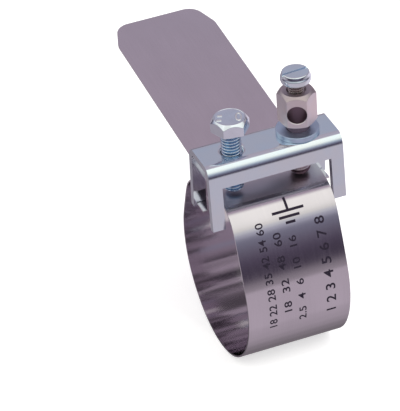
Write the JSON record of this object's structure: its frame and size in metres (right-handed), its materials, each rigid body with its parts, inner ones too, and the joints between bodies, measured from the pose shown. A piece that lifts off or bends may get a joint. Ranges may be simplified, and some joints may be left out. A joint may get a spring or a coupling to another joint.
{
  "type": "earthing pipe clamp",
  "caption": "Band clamp that earths a round metal pipe: a strap loop and bridge with a clamping bolt, and a hexagon terminal post that holds the earth wire in a cross hole.",
  "frame": {"origin": "centre of the pipe bore, halfway along the width of the strap", "axes": "+X along the pipe, from the clamp bolt to the terminal post; +Y along the tail of the strap, away from the rise of the loop; +Z from the pipe up to the bridge and its screws"},
  "size_m": [0.0414, 0.1088, 0.0915],
  "materials": {
    "strap": "fine brushed stainless steel",
    "bridge": "bright zinc plate on pressed steel",
    "bolt": "bright zinc plate with a blue tint",
    "washer": "bright zinc plate with a blue tint",
    "post": "satin nickel plate on turned brass",
    "wire_screw": "bright zinc plate with a blue tint"
  },
  "bodies": {
    "clamp": {"strap": "strap", "bridge": "bridge", "flat_washer": "washer"},
    "bolt": {"clamp_bolt": "bolt"},
    "post": {"terminal_post": "post"},
    "wire_screw": {"terminal_screw": "wire_screw"}
  },
  "joints": [
    {"name": "bolt_travel", "type": "slide", "parent": "clamp", "child": "bolt", "axis": [0, 0, 1], "range_m": [-0.0005, 0.0085]},
    {"name": "post_turn", "type": "hinge", "parent": "clamp", "child": "post", "pos_m": [0.0102, -0.0055, 0.0496], "axis": [0, 0, 1], "range_deg": [-180, 180]},
    {"name": "wire_screw_travel", "type": "slide", "parent": "post", "child": "wire_screw", "axis": [0, 0, 1], "range_m": [-0.0026, 0.0025]}
  ]
}
